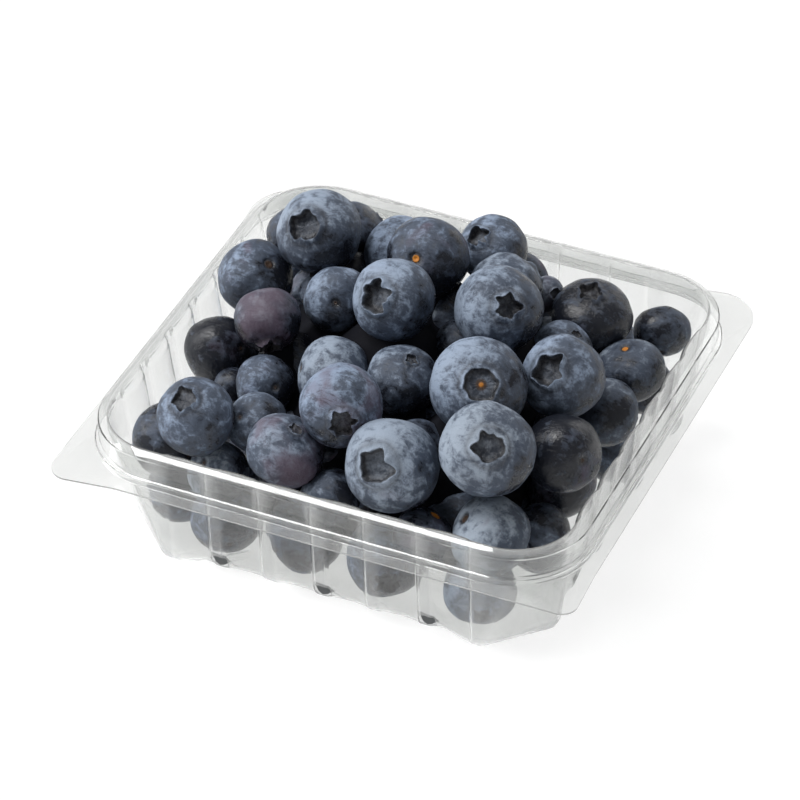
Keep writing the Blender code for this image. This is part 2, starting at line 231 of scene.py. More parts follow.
def clearPlastic(s):
    # clear sheet, milky along the ribs and bends, with painted shade inside the folds of its vents
    board = Board("clearPlastic")
    board.set(baseColor=s["colour"], roughness=s["roughness"], ior=s["ior"], transmissionWeight=1.0)
    milk, ventShade, _ = board.attribute("veil")
    where = board.node("ShaderNodeTexCoord", {}, {}, output=3)
    mottle = board.noise(where, *s["mottle"])
    clear = Wire(board, board.shader.outputs[0])
    facing = board.node("ShaderNodeBsdfDiffuse", {}, {"Color": (*s["milkColour"], 1)})
    through = board.node("ShaderNodeBsdfTranslucent", {}, {"Color": (*s["milkColour"], 1)})
    milky = board.node("ShaderNodeMixShader", {}, {0: s["milkGlow"], 1: facing, 2: through})
    # painted shade for the vents' folds: a dark diffuse sheet
    ventShaded = board.node("ShaderNodeBsdfDiffuse", {}, {"Color": (*s["ventShadeColour"], 1)})
    share = milk * s["milkShare"] * (s["mottleLeast"] + s["mottleMore"] * mottle)
    veiled = board.node("ShaderNodeMixShader", {}, {0: share, 1: clear, 2: milky})
    veiled = board.node("ShaderNodeMixShader", {}, {0: ventShade, 1: veiled, 2: ventShaded})
    # lamps shine through the thin sheet
    seeThrough = board.node("ShaderNodeBsdfTransparent", {}, {"Color": (s["shadowTint"],) * 3 + (1,)})
    path = board.tree.nodes.new("ShaderNodeLightPath")
    shadow = Wire(board, path.outputs["Is Shadow Ray"])
    mixed = board.node("ShaderNodeMixShader", {}, {0: shadow, 1: veiled, 2: seeThrough})
    board.tree.links.new(mixed.socket, board.tree.nodes["Material Output"].inputs["Surface"])
    return board.material


skinSettings = {
    "bare": (0.013, 0.015, 0.022),
    "bareRed": (0.030, 0.013, 0.022),
    "waxThin": (0.070, 0.090, 0.130),
    "waxGrey": (0.350, 0.405, 0.475),
    "waxBlue": (0.300, 0.380, 0.520),
    "waxRed": (0.115, 0.074, 0.104),
    # painted shade for the crown's hollow and its creases; the dry flecks in it have their own pale colour
    "craterShade": (0.016, 0.016, 0.019),
    "craterDry": (0.110, 0.106, 0.106),
    "scarDull": (0.075, 0.045, 0.030),
    "scarBright": (0.620, 0.230, 0.030),
    # how fine each pattern is per metre, its detail, roughness and distortion
    "patches": (140.0, 2.0, 0.5, 0.4),
    "clouds": (400.0, 5.0, 0.66, 0.35),
    "flecks": (1300.0, 4.0, 0.65, 0.6),
    "grain": (3600.0, 2.0, 0.6),
    # the drawn-out ones: how fine they are each way, their turn, detail, roughness and distortion
    "strokes": ((260.0, 2600.0, 700.0), (0.6, 0.4, 0.9), 2.0, 0.5, 1.2),
    "brush": ((240.0, 900.0, 520.0), (0.3, 1.1, 0.5), 4.0, 0.60, 0.9),
    # how much each pattern and the crown's lip add to the wax, and what is bare without them
    "cover": {"patches": 1.7, "clouds": 1.5, "brush": 0.7, "flecks": 0.25, "lip": 0.2},
    "bareUnder": 0.56,
    # where each effect starts and where it is full
    "waxEdge": (-0.46, 0.02),
    "thickEdge": (-0.04, 0.84),
    "strokesEdge": (0.58, 0.70),
    "redEdge": (0.3, 0.9),
    "dryEdge": (-0.18, 0.20),
    "scarEdge": (0.1, 0.4),
    "scarBrightEdge": (0.45, 0.85),
    # how strongly each one shows
    "strokesWear": 0.5,
    "grainWear": 0.5,
    # how far painted shade thins the wax in the crown's hollow
    "hollowShadeAndWear": 0.75,
    "redPatches": 2.0,
    "redTint": 0.75,
    "craterTint": 0.85,
    "thickClouds": 1.2,
    "thickFlecks": 0.5,
    "relief": {"clouds": 0.7, "waxyClouds": 1.7, "flecks": 0.8, "grain": 0.25, "strokes": 0.35, "crown": 2.0},
    "bump": 0.00022,        # the relief's height in metres
    "bumpStrength": 0.6,
    "gloss": 0.22,
    "waxDulls": 0.38,
    "specular": 0.45,
}


def blueberrySkin(s):
    board = Board("blueberrySkin")
    where = board.node("ShaderNodeTexCoord", {}, {}, output=3)
    craterShade, lip, scar = board.attribute("marks")
    # the bloom channel also carries painted light, paler on the side towards the lamps
    bloom, red, wear = board.attribute("mood")
    patches = board.noise(where, *s["patches"]) - 0.5
    clouds = board.noise(where, *s["clouds"]) - 0.5
    flecks = board.noise(where, *s["flecks"]) - 0.5
    grain = board.noise(where, *s["grain"]) - 0.5
    strokes = board.between(board.streaks(where, *s["strokes"]), *s["strokesEdge"])
    brush = board.streaks(where, *s["brush"]) - 0.5
    # the wax lies in patches and clouds, rubbed thin between them and scratched through
    share = s["cover"]
    cover = bloom + patches * share["patches"] + clouds * share["clouds"] + brush * share["brush"]
    cover = cover + flecks * share["flecks"] + lip * share["lip"] - s["bareUnder"]
    wax = board.between(cover, *s["waxEdge"])
    wax = wax * (1 - s["strokesWear"] * strokes * wear) * (1 + s["grainWear"] * grain)
    # painted shade: thinner wax, so darker skin, in the crown's hollow and creases
    wax = wax * (1 - s["hollowShadeAndWear"] * craterShade)
    redness = board.between(red + patches * s["redPatches"], *s["redEdge"])
    thick = cover + clouds * s["thickClouds"] + flecks * s["thickFlecks"]
    thick = board.between(thick, *s["thickEdge"])
    waxThick = board.blend(wear, s["waxGrey"], s["waxBlue"])
    waxColour = board.blend(thick, s["waxThin"], waxThick)
    waxColour = board.blend(redness * s["redTint"], waxColour, s["waxRed"])
    bare = board.blend(redness, s["bare"], s["bareRed"])
    colour = board.blend(wax, bare, waxColour)
    # the crown's hollow gets near-black painted shade with dry, pale flecks, and the stem's scar is brown
    dry = board.blend(board.between(flecks + clouds, *s["dryEdge"]), s["craterShade"], s["craterDry"])
    colour = board.blend(craterShade * s["craterTint"], colour, dry)
    bright = board.between(scar, *s["scarBrightEdge"])
    scarColour = board.blend(bright, s["scarDull"], s["scarBright"])
    colour = board.blend(board.between(scar, *s["scarEdge"]), colour, scarColour)
    relief = s["relief"]
    height = clouds * (relief["clouds"] + relief["waxyClouds"] * wax) + flecks * relief["flecks"]
    height = height + grain * relief["grain"] - strokes * relief["strokes"]
    height = height + (craterShade + lip) * flecks * relief["crown"]
    board.set(baseColor=colour, roughness=s["gloss"] + s["waxDulls"] * wax,
              normal=board.bump(height, s["bump"], s["bumpStrength"]))
    board.shader.inputs["Specular IOR Level"].default_value = s["specular"]
    return board.material


shadeSettings = {
    "patches": 120.0,
    "dark": (0.004, 0.004, 0.006),
    "lighter": (0.012, 0.013, 0.018),
    "gloss": 0.6,
    "patchesDull": 0.3,
    "specular": 0.1,
}


def heapShade(s):
    # nearly black, for what lies in the shade between the fruit
    board = Board("heapShade")
    where = board.node("ShaderNodeTexCoord", {}, {}, output=3)
    patches = board.noise(where, s["patches"])
    board.set(baseColor=board.blend(patches, s["dark"], s["lighter"]),
              roughness=patches * s["patchesDull"] + s["gloss"])
    board.shader.inputs["Specular IOR Level"].default_value = s["specular"]
    return board.material


def deselectAll():
    if bpy.context.object and bpy.context.object.mode != "OBJECT":
        bpy.ops.object.mode_set(mode="OBJECT")
    bpy.ops.object.select_all(action="DESELECT")


def startEditing(piece, mode="FACE"):
    deselectAll()
    piece.select_set(True)
    bpy.context.view_layer.objects.active = piece
    bpy.ops.object.mode_set(mode="EDIT")
    bpy.ops.mesh.select_mode(type=mode)
    bpy.ops.mesh.select_all(action="DESELECT")


def stopEditing():
    bpy.ops.object.mode_set(mode="OBJECT")


def applyModifiers(piece):
    deselectAll()
    piece.select_set(True)
    bpy.context.view_layer.objects.active = piece
    for modifier in list(piece.modifiers):
        bpy.ops.object.modifier_apply(modifier=modifier.name)


def joinPieces(pieces, name):
    deselectAll()
    for piece in pieces:
        piece.select_set(True)
    bpy.context.view_layer.objects.active = pieces[0]
    bpy.ops.object.join()
    joined = bpy.context.view_layer.objects.active
    joined.name = name
    joined.data.name = name
    deselectAll()
    return joined


def smoothstep(low, high, value):
    share = min(max((value - low) / (high - low), 0.0), 1.0)
    return share * share * (3 - 2 * share)


traySettings = {
    "height": 31.5,
    "rimWidth": 108.0,
    "rimDepth": 103.6,
    "rimRadius": 16.5,
    "rimLean": 0.3,        # the rim's top falls outwards, from rimSlope in from its edge to rimLean
    "rimSlope": 2.0,
    "rimFall": 0.9,
    "rimCrown": 0.42,      # how much of the fall is left between the two
    "rimTurn": 1.15,
    "rimUnder": 0.2,
    "sheet": 0.36,
    "bandDrop": 7.2,
    "flange": 3.7,
    "stepRise": 1.2,
    "stepOut": 0.8,
    "stepSlope": 0.3,
    "mouthWidth": 102.4,
    "mouthDepth": 99.0,
    "mouthRadius": 13.0,
    "baseSide": 95.0,
    "baseRound": 4.5,
    "baseCut": 11.6,
    "cutBend": 1.5,
    "flutes": 6,
    "flutedRun": 70.0,
    "ridge": 0.08,         # half a ridge and then its flank, as shares of a flute
    "flank": 0.09,
    "flankShare": 0.6,     # how full the bulge is at the flank's end
    "bulgeAtMouth": 0.5,
    "bulge": 1.2,
    "shoulderDrop": 2.0,
    "shoulderInset": 0.5,
    "shoulderRadius": 11.0,
    "foot": 1.5,
    "footRamp": (0.77, 0.93),
    "floorBorder": 6.0,
    "floorSide": 71.0,
    "floorCut": 10.5,
    "floorRise": 0.8,
    "floorEase": 3.0,
    "floorMiddle": 0.5,
    "floorMiddleRun": 0.45,
    # how far each crease is rounded off
    "creases": {"flange": 0.35, "step": 0.36, "stepTop": 0.3, "rim": 0.35, "rimTop": 0.4,
                "mouth": 0.2, "shoulder": 0.6, "floor": 0.8},
    "runIn": 0.4,
    "cornerSteps": 12,
    "smoothAngle": 40.0,
    # how milky each place is, then how far up, down, in or along each reaches
    "milkFloor": 0.03,
    "milkWall": 0.03,
    "milkRib": 0.32,
    "milkBend": 0.30,
    "milkFlange": 0.22,
    "milkRim": 0.35,
    "milkUnderRim": 0.3,
    "milkPastFlutes": 2.0,
    "milkBendUp": 1.1,
    "milkFlangeIn": 0.1,
    "milkStepUp": 0.2,
    # each flange corner from the front right: radius, how far it stands out along x and y
    "flangeCorners": ((3.5, 0.5, 0.0), (9.0, 0.0, 1.4), (11.0, 0.5, 0.0), (4.5, 0.0, 1.4)),
}


def sideAxes(side):
    turn = side * math.pi / 2
    return Vector((math.cos(turn), math.sin(turn))), Vector((math.sin(turn), -math.cos(turn)))


def bulgeAt(s, share):
    # how full the bulge is at a share of the way along a flute
    near = min(share, 1 - share)
    flankEnd = s["ridge"] + s["flank"]
    if near <= flankEnd:
        return s["flankShare"] * smoothstep(s["ridge"], flankEnd, near)
    rest = (near - flankEnd) / (0.5 - flankEnd)
    return s["flankShare"] + (1 - s["flankShare"]) * math.sin(rest * math.pi / 2)


def fluteFullness(s, x):
    # how full the bulge is at a place along the side
    return bulgeAt(s, (x / (s["flutedRun"] / s["flutes"])) % 1.0)


def fluteStations(s):
    # where along a flute its section is taken, and how full the bulge is there
    start, flank = s["ridge"], s["flank"]
    places = [start * 0.6] + [start + flank * i / 4 for i in range(5)]
    places += [start + flank + (0.5 - start - flank) * i / 3 for i in (1, 2, 3)]
    half = [(place, bulgeAt(s, place)) for place in places]
    return half + [(1 - place, full) for place, full in reversed(half[:-1])]


def cutReach(s, cut):
    # how far back from the corner a cut with rounded ends starts
    return cut + s["cutBend"] * math.tan(math.pi / 8)


def arcCorner(s, along, outward, reach, out, radius):
    middle = along * (reach - radius) + outward * (out - radius)
    turns = [math.pi / 2 * i / s["cornerSteps"] for i in range(s["cornerSteps"] + 1)]
    return [middle + radius * (outward * math.cos(t) + along * math.sin(t)) for t in turns]


def cutCorner(s, along, outward, reach, out, cut):
    bend = s["cutBend"]
    back = cutReach(s, cut)
    first = along * (reach - back) + outward * (out - bend)
    second = along * (reach - bend) + outward * (out - back)
    half = s["cornerSteps"] // 2
    points = []
    for middle, start in ((first, 0.0), (second, math.pi / 4)):
        for i in range(half):
            t = start + math.pi / 4 * i / (half - 1)
            points.append(middle + bend * (outward * math.cos(t) + along * math.sin(t)))
    points.insert(half, (points[half - 1] + points[half]) / 2)
    return points


def trayRing(s, width, depth, z, radius=0.0, cut=0.0, run=None, bulge=0.0, foot=0.0, corners=None):
    # one closed section, anticlockwise from the front
    run = run or s["flutedRun"]
    corners = corners or ((radius, 0.0, 0.0),) * 4
    ring = []
    for side in range(4):
        along, outward = sideAxes(side)
        reach, out = (width / 2, depth / 2) if side % 2 == 0 else (depth / 2, width / 2)
        half = run / 2
        ends = [cutReach(s, cut) if cut else corners[k][0] for k in (side - 1, side)]
        before, after = [half + s["runIn"] * (reach - end - half) for end in ends]
        places = [(-before, 0.0)]
        for flute in range(s["flutes"]):
            for place, full in fluteStations(s):
                places.append(((2 * (flute + place) / s["flutes"] - 1) * half, full))
        places.append((after, 0.0))
        for x, full in places:
            point = along * x + outward * (out - bulge * full)
            drop = foot * smoothstep(*s["footRamp"], abs(x) / half)
            ring.append(Vector((point.x, point.y, z - drop)))
        r, lipX, lipY = corners[side]
        if cut:
            corner = cutCorner(s, along, outward, reach, out, cut)
        else:
            grow = (lipX, lipY) if side % 2 == 0 else (lipY, lipX)
            corner = arcCorner(s, along, outward, reach + grow[0], out + grow[1], r)
        ring.extend(Vector((p.x, p.y, z - foot)) for p in corner)
    return ring


def traySections(s):
    # every section with how far its crease is rounded off, from the flange's edge to the floor
    flangeTop = s["height"] - s["bandDrop"]
    w, d, r = s["rimWidth"], s["rimDepth"], s["rimRadius"]
    grown, stepped = 2 * s["flange"], 2 * s["stepOut"]
    middle = s["sheet"] + s["foot"]
    side, bend = s["baseSide"], s["baseRound"]
    cutShare = 2 - math.sqrt(2)
    inset = 2 * s["shoulderInset"]
    mouthW, mouthD = s["mouthWidth"], s["mouthDepth"]
    stepR = r + s["stepOut"]
    border = side - 2 * (bend + s["floorBorder"])
    bulge = s["bulge"]
    lean, slope = s["rimLean"], s["rimSlope"]
    top, rimEdge = s["height"], s["height"] - s["rimFall"]
    crease = s["creases"]
    sections = [
        (trayRing(s, w + grown, d + grown, flangeTop, corners=s["flangeCorners"]), 0.0),
        (trayRing(s, w + stepped, d + stepped, flangeTop, stepR), crease["flange"]),
        (trayRing(s, w + stepped, d + stepped, flangeTop + s["stepRise"], stepR), crease["step"]),
        (trayRing(s, w, d, flangeTop + s["stepRise"] + s["stepSlope"], r), crease["stepTop"]),
        (trayRing(s, w, d, rimEdge - s["rimUnder"], r), crease["rim"]),
        (trayRing(s, w - 2 * lean, d - 2 * lean, rimEdge, r - lean), 0.0),
        (trayRing(s, w - lean - slope, d - lean - slope, top - s["rimFall"] * s["rimCrown"],
                  r - (lean + slope) / 2), 0.0),
        (trayRing(s, w - 2 * slope, d - 2 * slope, top, r - slope * s["rimTurn"]), crease["rimTop"]),
        (trayRing(s, mouthW, mouthD, top, s["mouthRadius"], bulge=s["bulgeAtMouth"]), crease["mouth"]),
        (trayRing(s, mouthW - inset, mouthD - inset, top - s["shoulderDrop"],
                  s["shoulderRadius"], bulge=bulge), crease["shoulder"]),
        (trayRing(s, side, side, middle + bend, cut=s["baseCut"], bulge=bulge, foot=s["foot"]), 0.0),
    ]
    for turn in (18, 36, 54, 72):
        angle = math.radians(turn)
        inward = bend * (1 - math.cos(angle))
        sections.append((trayRing(s, side - 2 * inward, side - 2 * inward,
                                  middle + bend * (1 - math.sin(angle)),
                                  cut=s["baseCut"] - cutShare * inward,
                                  run=s["flutedRun"] - inward,
                                  bulge=bulge * math.cos(angle), foot=s["foot"]), 0.0))
    sections += [
        (trayRing(s, side - 2 * bend, side - 2 * bend, middle, cut=s["baseCut"] - cutShare * bend,
                  run=s["flutedRun"] - bend, foot=s["foot"]), 0.0),
        (trayRing(s, border, border, middle, cut=s["floorCut"],
                  run=border - 2 * s["floorCut"] - s["floorEase"], foot=s["foot"]), crease["floor"]),
        (trayRing(s, s["floorSide"], s["floorSide"], middle + s["floorRise"], cut=s["floorCut"],
                  run=s["floorSide"] - 2 * s["floorCut"] - s["floorEase"]), crease["floor"]),
        (trayRing(s, s["floorSide"] * s["floorMiddle"], s["floorSide"] * s["floorMiddle"],
                  middle + s["floorRise"], cut=s["floorCut"] * s["floorMiddle"],
                  run=(s["floorSide"] - 2 * s["floorCut"]) * s["floorMiddleRun"]), 0.0),
    ]
    return sections


def roundedSections(sections, steps=5):
    # puts an arc of sections in place of each crease
    rings = []
    for i, (ring, rounding) in enumerate(sections):
        if not rounding:
            rings.append(ring)
            continue
        before, after = sections[i - 1][0], sections[i + 1][0]
        arcs = [[] for _ in range(steps + 1)]
        for a, b, c in zip(before, ring, after):
            start = b + (a - b).normalized() * min(rounding, 0.45 * (a - b).length)
            end = b + (c - b).normalized() * min(rounding, 0.45 * (c - b).length)
            for k, arc in enumerate(arcs):
                t = k / steps
                arc.append(start * (1 - t) ** 2 + b * 2 * t * (1 - t) + end * t ** 2)
        rings.extend(arcs)
    return rings


def shapeLoop(piece, first, ring):
    # sets the newest loop of corners on its section
    mesh = bmesh.from_edit_mesh(piece.data)
    mesh.verts.ensure_lookup_table()
    for i, point in enumerate(ring):
        mesh.verts[first + i].co = point * mm
    bmesh.update_edit_mesh(piece.data)


def modelTray(s):
    rings = roundedSections(traySections(s))
    count = len(rings[0])
    deselectAll()
    bpy.ops.mesh.primitive_circle_add(vertices=count, radius=s["rimWidth"] / 2 * mm)
    tray = bpy.context.object
    tray.name = "clearTray"
    startEditing(tray, "VERT")
    bpy.ops.mesh.select_all(action="SELECT")
    shapeLoop(tray, 0, rings[0])
    for k, ring in enumerate(rings[1:], 1):
        bpy.ops.mesh.extrude_region_move()
        shapeLoop(tray, k * count, ring)
    bpy.ops.mesh.edge_face_add()   # the middle of the floor
    bpy.ops.mesh.select_all(action="SELECT")
    bpy.ops.mesh.normals_make_consistent(inside=False)
    if upsideDown(tray):
        bpy.ops.mesh.flip_normals()
    stopEditing()
    shell = tray.modifiers.new("sheet", "SOLIDIFY")
    shell.thickness = s["sheet"] * mm
    shell.offset = -1
    shell.use_quality_normals = True
    tray.modifiers.new("flatFaces", "TRIANGULATE")
    cutters = modelVentCutters(ventSettings, s)
    vents = tray.modifiers.new("vents", "BOOLEAN")
    vents.operation = "DIFFERENCE"
    vents.object = cutters
    applyModifiers(tray)
    bpy.data.objects.remove(cutters, do_unlink=True)
    for vert in tray.data.vertices:   # the four feet stand on one plane
        if vert.co.z < 0.1 * mm:
            vert.co.z = 0.0
    lips = modelVentLips(ventSettings, s)
    startEditing(lips)
    bpy.ops.mesh.select_all(action="SELECT")
    bpy.ops.mesh.remove_doubles(threshold=0.001 * mm)
    bpy.ops.mesh.normals_make_consistent(inside=False)
    stopEditing()
    tray = joinPieces([tray, lips], "clearTray")
    tray.select_set(True)
    bpy.ops.object.shade_smooth_by_angle(angle=math.radians(s["smoothAngle"]))
    tray.data.materials.clear()
    tray.data.materials.append(clearPlastic(plasticSettings))
    veilTray(s, tray)
    return tray


def veilTray(s, tray):
    # how milky each place is: the ribs, the bend at the foot, the step and the flange; it also carries the
    # painted shade of the vents' folds
    foot = s["sheet"] + s["foot"]
    stepTop = s["height"] - s["bandDrop"] + s["stepRise"] + s["stepSlope"]
    veil = tray.data.attributes.new("veil", "FLOAT_COLOR", "POINT")
    ventShade = tray.data.attributes["ventShade"]
    for vert, dark, shade in zip(tray.data.vertices, ventShade.data, veil.data):
        p = vert.co / mm
        x, y = (p.x, p.y) if abs(p.y) > abs(p.x) else (p.y, p.x)
        milk = s["milkFloor"]
        if abs(y) > s["baseSide"] / 2 - s["baseRound"] and p.z < s["height"] - s["milkUnderRim"]:
            milk = s["milkWall"]
            if abs(x) < s["flutedRun"] / 2 + s["milkPastFlutes"]:
                rib = 1 - fluteFullness(s, x if abs(x) < s["flutedRun"] / 2 else 0) / s["flankShare"]
                milk += s["milkRib"] * max(rib, 0) ** 2
            milk += s["milkBend"] * (1 - smoothstep(foot, foot + s["baseRound"] * s["milkBendUp"], p.z))
        out = max(abs(p.x) - s["rimWidth"] / 2, abs(p.y) - s["rimDepth"] / 2)
        if out > -s["milkFlangeIn"] and p.z < stepTop + s["milkStepUp"]:
            milk = s["milkFlange"]
        if p.z > s["height"] - s["rimFall"]:
            milk = s["milkRim"]
        shade.color = (min(milk, 1), dark.value, 0, 1)


def upsideDown(tray):
    # whether the floor's top faces down
    mesh = bmesh.from_edit_mesh(tray.data)
    floor = max(mesh.faces, key=lambda face: len(face.verts))
    return floor.normal.z < 0


ventSettings = {
    "flutes": (-2, 0, 2),
    "aside": 0.3,
    "width": 3.6,
    "top": 7.2,
    "bottom": 3.0,
    "cutOut": 5.0,
    "cutIn": 4.0,
    "archSteps": 10,
    "arch": 0.8,
    "legsFrom": 0.6,       # corners further out than this share of the half width make the legs
    "lip": 0.26,           # radius of the bead over each vent
    "lipOut": 0.12,
    "lipArch": (0.95, 0.9),     # where it starts and how far it goes round, as shares of a half turn
    "lipTail": ((0.7, 0.7), (2.6, 1.9)),   # it runs on down the right side: how far aside and down
    "lipTaper": 0.35,      # its thickness at its ends
    "bendTop": 6.0,        # where the wall starts to bend under, and how fast it goes
    "bendIn": 0.42,
    # the fold's outline: how far aside and how high
    "fold": ((-2.0, 6.4), (-1.1, 4.0), (-0.4, 2.9), (0.9, 3.6),
             (2.3, 4.9), (1.3, 6.1), (0.0, 6.9), (-1.1, 7.1)),
    "foldOut": -0.15,
    "foldThick": 0.12,
    # how much painted shade darkens the folds
    "ventShade": 0.75,
}


def modelVentCutters(s, tray):
    # arch-topped blocks through the foot of each wall
    half = s["width"] / 2
    rise = s["top"] - s["bottom"] - half
    pitch = tray["flutedRun"] / tray["flutes"]
    cutters = []
    for side in range(4):
        along, outward = sideAxes(side)
        for flute in s["flutes"]:
            deselectAll()
            bpy.ops.mesh.primitive_circle_add(vertices=2 * s["archSteps"], radius=half * mm,
                                              rotation=(math.pi / 2, 0, 0))
            cutter = bpy.context.object
            bpy.ops.object.transform_apply(rotation=True)
            startEditing(cutter, "VERT")
            mesh = bmesh.from_edit_mesh(cutter.data)
            for vert in mesh.verts:   # the lower half of the circle becomes the arch's straight legs
                if vert.co.z < -0.01 * mm:
                    vert.co.z = -rise * mm
                    if abs(vert.co.x) > s["legsFrom"] * half * mm:
                        vert.co.x = math.copysign(half * mm, vert.co.x)
            bmesh.update_edit_mesh(cutter.data)
            bpy.ops.mesh.select_all(action="SELECT")
            bpy.ops.mesh.edge_face_add()
            bpy.ops.mesh.extrude_region_move(
                TRANSFORM_OT_translate={"value": (0, (s["cutOut"] + s["cutIn"]) * mm, 0)})
            bpy.ops.mesh.select_all(action="SELECT")
            bpy.ops.transform.translate(value=(0, -s["cutOut"] * mm, (s["bottom"] + rise) * mm))
            bpy.ops.mesh.normals_make_consistent(inside=False)
            stopEditing()
            place = along * (flute * pitch + s["aside"]) + outward * (tray["baseSide"] / 2)
            cutter.rotation_euler = (0, 0, side * math.pi / 2)
            cutter.location = (place.x * mm, place.y * mm, 0)
            bpy.ops.object.transform_apply(location=True, rotation=True)
            cutters.append(cutter)
    return joinPieces(cutters, "ventCutters")


def modelVentLips(s, tray):
    # a thin bead over each vent, and the fold hanging under its left half, painted dark as shade
    half = s["width"] / 2
    crest = s["top"] - half
    lips = []
    folds = []
    for side in range(4):
        along, outward = sideAxes(side)
        for flute in s["flutes"]:
            middle = flute * tray["flutedRun"] / tray["flutes"] + s["aside"]

            def onWall(x, z, lift=s["lipOut"]):
                out = tray["baseSide"] / 2 + min(z - s["bendTop"], 0) * s["bendIn"] + lift
                out -= tray["bulge"] * fluteFullness(tray, middle + x) * smoothstep(0, s["bendTop"], z)
                place = along * (middle + x) + outward * out
                return Vector((place.x, place.y, z))

            path = []
            start, sweep = s["lipArch"]
            for i in range(s["archSteps"] + 1):
                turn = math.pi * (start - sweep * i / s["archSteps"])
                path.append((half * math.cos(turn), crest + half * s["arch"] * math.sin(turn)))
            path += [(half + x, crest - down) for x, down in s["lipTail"]]
            curve = bpy.data.curves.new("ventLip", "CURVE")
            curve.dimensions = "3D"
            curve.bevel_depth = s["lip"] * mm
            curve.bevel_resolution = 2
            curve.use_fill_caps = True
            spline = curve.splines.new("POLY")
            spline.points.add(len(path) - 1)
            for k, (point, (x, z)) in enumerate(zip(spline.points, path)):
                point.co = (*(onWall(x, z) * mm), 1)
                full = math.sin(math.pi * (k + 0.5) / len(path))
                point.radius = s["lipTaper"] + (1 - s["lipTaper"]) * full
            lip = bpy.data.objects.new("ventLip", curve)
            bpy.context.scene.collection.objects.link(lip)
            lips.append(lip)
            deselectAll()
            bpy.ops.mesh.primitive_circle_add(vertices=len(s["fold"]), radius=mm, fill_type="NGON")
            fold = bpy.context.object
            fold.name = "ventFold"
            startEditing(fold, "VERT")
            shapeLoop(fold, 0, [onWall(x, z, s["foldOut"]) for x, z in s["fold"]])
            stopEditing()
            thick = fold.modifiers.new("sheet", "SOLIDIFY")
            thick.thickness = s["foldThick"] * mm
            applyModifiers(fold)
            folds.append(fold)
    deselectAll()
    for lip in lips:
        lip.select_set(True)
    bpy.context.view_layer.objects.active = lips[0]
    bpy.ops.object.convert(target="MESH")
    beads = joinPieces(bpy.context.selected_objects, "ventLips")
    darkFolds = joinPieces(folds, "ventFolds")
    # the folds carry painted shade, the beads none
    for piece, dark in ((beads, 0.0), (darkFolds, s["ventShade"])):
        ventShade = piece.data.attributes.new("ventShade", "FLOAT", "POINT")
        ventShade.data.foreach_set("value", [dark] * len(ventShade.data))
    return joinPieces([beads, darkFolds], "ventLips")


fruitSettings = {
    "ringShare": 0.4,      # rings down the body for each point around it
    "height": 0.88,        # a berry's half height against its radius
    "blunt": 2.25,         # above 2 its ends are flatter than a ball's
    "widen": 1.02,
    "lobeShift": 0.25,     # how unevenly the crown's five lobes are spaced
    "lobeFold": (-0.7, 1.0),
    "lobeHeight": (0.4, 2.0),
    "lobeSink": 0.5,
    "fold": 1.25,          # how far the crown's lobes bend in or out, against its raggedness
    "rough": (1.7, 4.1, 0.55),   # the torn edge's coarse and fine noise and the share of the fine one
    "tear": (3.1, 5),      # how fine the tears in its height are and how deep
    "pitting": 0.06,       # the skin round the crown: how deep its pits are, how fine, how soon they end
    "pitScale": 5.0,
    "pitFade": 3,
    "seedStep": 7.3,
    "dent": 0.06,
    "dentScale": 1.1,
    "knob": 0.016,
    "knobScale": 3.2,
    # how far each berry moves on in the dents' noise, and what varies its wear and its painted light: wax
    # made paler on the side towards the lamps and thinner on the far side
    "dentShift": (3.17, -1.73, 2.31),
    "wearTurn": 12.9,
    "leanTurns": (5.3, 3.7, 8.1),
    "paintedLitSide": (-0.65, -0.10, 0.70),
    "paintedLitJitter": 0.35,
    "paintedLightTilt": 0.52,
    "paintedLightBloom": 1.6,
}

# each crown: opening, its depth, lip height, how far the star's points reach, raggedness, how
# bright the dot in its middle is and how much painted shade darkens its hollow
crownKinds = {
    "wide": (0.36, 0.13, 0.070, 0.09, 0.15, 0.0, 0.60),
    "jagged": (0.37, 0.18, 0.120, 0.15, 0.18, 0.0, 0.85),
    "round": (0.33, 0.11, 0.060, 0.07, 0.14, 0.0, 0.65),
    "dotted": (0.33, 0.09, 0.030, 0.00, 0.10, 1.0, 0.55),
    "narrow": (0.17, 0.06, 0.030, 0.12, 0.14, 0.0, 0.80),
    "ragged": (0.30, 0.14, 0.085, 0.11, 0.21, 0.0, 0.80),
}
# each stem end: dimple's radius, its depth, the scar's radius, how bright the scar is
stemKinds = {
    "small": (0.17, 0.04, 0.060, 0.35),
    "scarred": (0.20, 0.05, 0.115, 0.45),
    "bright": (0.21, 0.06, 0.100, 1.0),
    "yellow": (0.24, 0.05, 0.170, 1.4),
}


def bodyHeight(s, rho):
    return s["height"] * (1 - min(rho, 1.0) ** s["blunt"]) ** (1 / s["blunt"])


def lobeAt(turn, points):
    # which lobe of the crown a direction meets, and how full it is there: 0 at the star's points
    full = 2 * math.pi
    for k, point in enumerate(points):
        gap = (points[(k + 1) % len(points)] - point) % full
        if (turn - point) % full < gap:
            return k, math.sin(math.pi * ((turn - point) % full) / gap)
    return 0, 0.0


